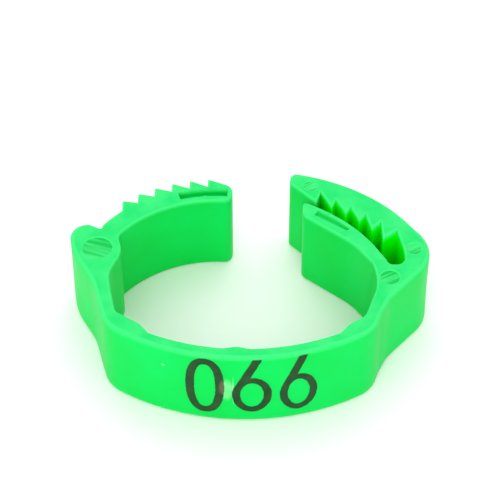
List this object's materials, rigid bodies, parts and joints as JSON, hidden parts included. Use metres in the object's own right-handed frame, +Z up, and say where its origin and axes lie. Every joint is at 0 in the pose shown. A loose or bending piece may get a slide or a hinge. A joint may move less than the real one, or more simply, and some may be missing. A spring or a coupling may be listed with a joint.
{
  "type": "leg band",
  "caption": "Open C-shaped poultry leg band with a curved number plate, two bending necks and a ratchet tongue that locks between a toothed jaw and a guide tongue.",
  "frame": {"origin": "on the surface the band stands on, under the middle of its bounding box", "axes": "+X to the right along the band's longest extent, +Y from the number plate towards the clasp's mouth, +Z up along the leg hole, the shortest extent"},
  "size_m": [0.038, 0.028, 0.0094],
  "materials": {
    "plastic": "satin, slightly translucent bright green moulded plastic",
    "print": "dark brown-green marking"
  },
  "bodies": {
    "plate": {"number_plate": "plastic", "digit_0": "print", "digit_6_centre": "print", "digit_6_right": "print"},
    "left_arm": {"left_neck": "plastic", "left_knuckle": "plastic", "ratchet_tongue": "plastic"},
    "clasp": {"right_neck": "plastic", "clasp_root": "plastic"},
    "jaw": {"toothed_jaw": "plastic"},
    "guide": {"guide_tongue": "plastic"}
  },
  "joints": [
    {"name": "left_neck_bend", "type": "hinge", "parent": "plate", "child": "left_arm", "pos_m": [-0.01462, -0.00649, 0.0047], "axis": [0, 0, -1], "range_deg": [0, 23.5], "stiffness_Nm_per_rad": 0.3},
    {"name": "right_neck_bend", "type": "hinge", "parent": "plate", "child": "clasp", "pos_m": [0.01308, -0.00649, 0.0047], "axis": [0, 0, 1], "range_deg": [0, 23.5], "stiffness_Nm_per_rad": 0.3},
    {"name": "jaw_spread", "type": "hinge", "parent": "clasp", "child": "jaw", "pos_m": [0.01765, 0.00143, 0.0047], "axis": [0, 0, -1], "range_deg": [0, 9.1], "stiffness_Nm_per_rad": 1},
    {"name": "guide_spread", "type": "hinge", "parent": "clasp", "child": "guide", "pos_m": [0.01331, 0.00063, 0.0047], "axis": [0, 0, 1], "range_deg": [0, 10.3], "stiffness_Nm_per_rad": 0.5}
  ],
  "couplings": [
    {"joint": "right_neck_bend", "follows": "left_neck_bend", "ratio": 1},
    {"joint": "jaw_spread", "follows": "left_neck_bend", "ratio": 0.385},
    {"joint": "guide_spread", "follows": "left_neck_bend", "ratio": 0.435}
  ]
}
